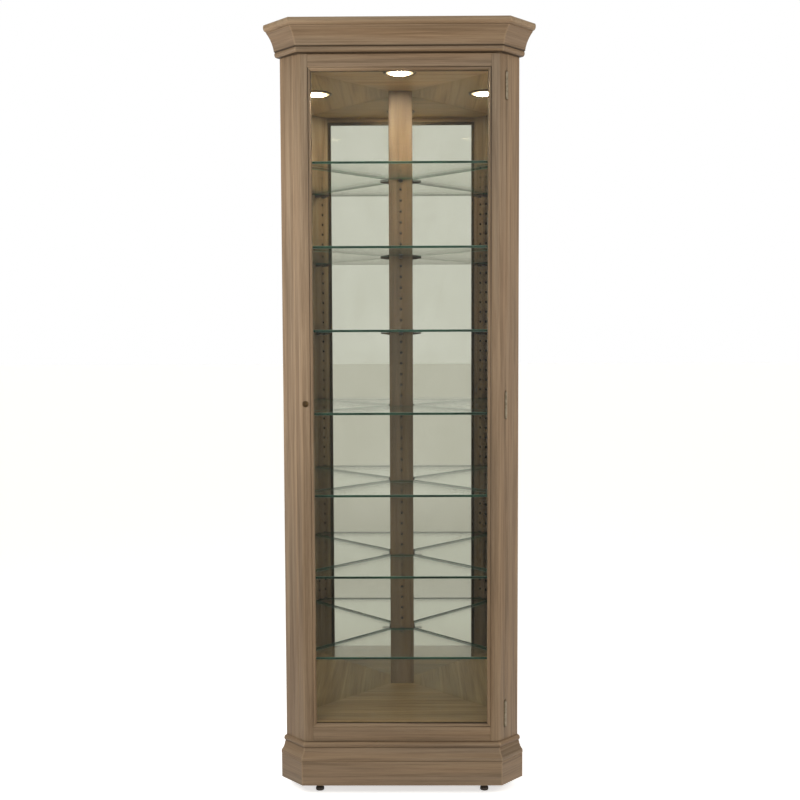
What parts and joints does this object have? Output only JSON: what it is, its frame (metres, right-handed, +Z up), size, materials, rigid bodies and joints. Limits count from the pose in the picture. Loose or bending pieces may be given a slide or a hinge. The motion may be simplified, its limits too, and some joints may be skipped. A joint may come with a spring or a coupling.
{
  "type": "corner china cabinet",
  "caption": "Tall corner display cabinet with one glazed hinged door, canted sides, mirrored backs, glass shelves, a ceiling light, a crown and a moulded base on levelling feet.",
  "frame": {"origin": "on the floor under the middle of the cabinet's bounding box", "axes": "+Z up, +X to the viewer's right along the door, -Y out of the front, +Y into the room's corner"},
  "size_m": [0.6608, 0.372, 1.894],
  "materials": {
    "case_wood": "weathered taupe stain, low satin lacquer",
    "inner_wood": "weathered taupe stain, low satin lacquer",
    "back_plywood": "unfinished plywood",
    "mirror_glass": "silvered, polished",
    "shelf_glass": "clear, polished edges",
    "door_pane": "clear",
    "hinge_metal": "antique nickel, satin",
    "plated_steel": "zinc plated",
    "lock_bronze": "dark antique bronze",
    "light_metal": "white enamel",
    "trim_bronze": "bronze paint, satin",
    "light_lens": "frosted, lit",
    "black_rubber": "matte",
    "foot_plastic": "matte"
  },
  "bodies": {
    "cabinet": {"left_side_panel": "case_wood", "left_back_panel": "back_plywood", "left_mirror": "mirror_glass", "right_side_panel": "case_wood", "right_back_panel": "back_plywood", "right_mirror": "mirror_glass", "rear_post": "inner_wood", "bottom_board": "inner_wood", "top_board": "inner_wood", "header_rail": "case_wood", "base_rail": "case_wood", "floor_apron": "inner_wood", "crown_front": "case_wood", "crown_left": "case_wood", "crown_right": "case_wood", "base_moulding_front": "case_wood", "base_moulding_left": "case_wood", "base_moulding_right": "case_wood", "skirt_front": "case_wood", "skirt_left": "case_wood", "skirt_right": "case_wood", "crown_cap": "case_wood", "shelf_1": "shelf_glass", "shelf_2": "shelf_glass", "shelf_3": "shelf_glass", "shelf_4": "shelf_glass", "shelf_5": "shelf_glass", "shelf_6": "shelf_glass", "shelf_7": "shelf_glass", "light_housing": "light_metal", "light_trim": "trim_bronze", "light_lens": "light_lens", "bulb_socket": "light_metal", "light_bulb": "light_lens", "cord_grommet": "black_rubber", "hinge_case_leaf_top": "hinge_metal", "hinge_pin_top": "hinge_metal", "hinge_case_leaf_middle": "hinge_metal", "hinge_pin_middle": "hinge_metal", "hinge_case_leaf_bottom": "hinge_metal", "hinge_pin_bottom": "hinge_metal", "strike_plate": "plated_steel"},
    "door": {"door_left_stile": "case_wood", "door_right_stile": "case_wood", "door_top_rail": "case_wood", "door_bottom_rail": "case_wood", "door_glass": "door_pane", "glazing_frame": "inner_wood", "hinge_door_leaf_top": "hinge_metal", "hinge_door_leaf_middle": "hinge_metal", "hinge_door_leaf_bottom": "hinge_metal", "lock_housing": "lock_bronze", "lock_nut": "plated_steel"},
    "lock": {"lock_plug": "lock_bronze", "lock_cam": "plated_steel"},
    "foot_front_left": {"levelling_foot_front_left": "foot_plastic"},
    "foot_front_right": {"levelling_foot_front_right": "foot_plastic"},
    "foot_rear": {"levelling_foot_rear": "foot_plastic"}
  },
  "joints": [
    {"name": "door_hinge", "type": "hinge", "parent": "cabinet", "child": "door", "pos_m": [0.26, -0.11935, 0.97], "axis": [0, 0, 1], "range_deg": [0, 120]},
    {"name": "lock_turn", "type": "hinge", "parent": "door", "child": "lock", "pos_m": [-0.234, -0.128, 0.975], "axis": [0, -1, 0], "range_deg": [0, 90]},
    {"name": "foot_front_left_screw", "type": "slide", "parent": "cabinet", "child": "foot_front_left", "axis": [0, 0, -1], "range_m": [0, 0.012]},
    {"name": "foot_front_right_screw", "type": "slide", "parent": "cabinet", "child": "foot_front_right", "axis": [0, 0, -1], "range_m": [0, 0.012]},
    {"name": "foot_rear_screw", "type": "slide", "parent": "cabinet", "child": "foot_rear", "axis": [0, 0, -1], "range_m": [0, 0.012]}
  ]
}
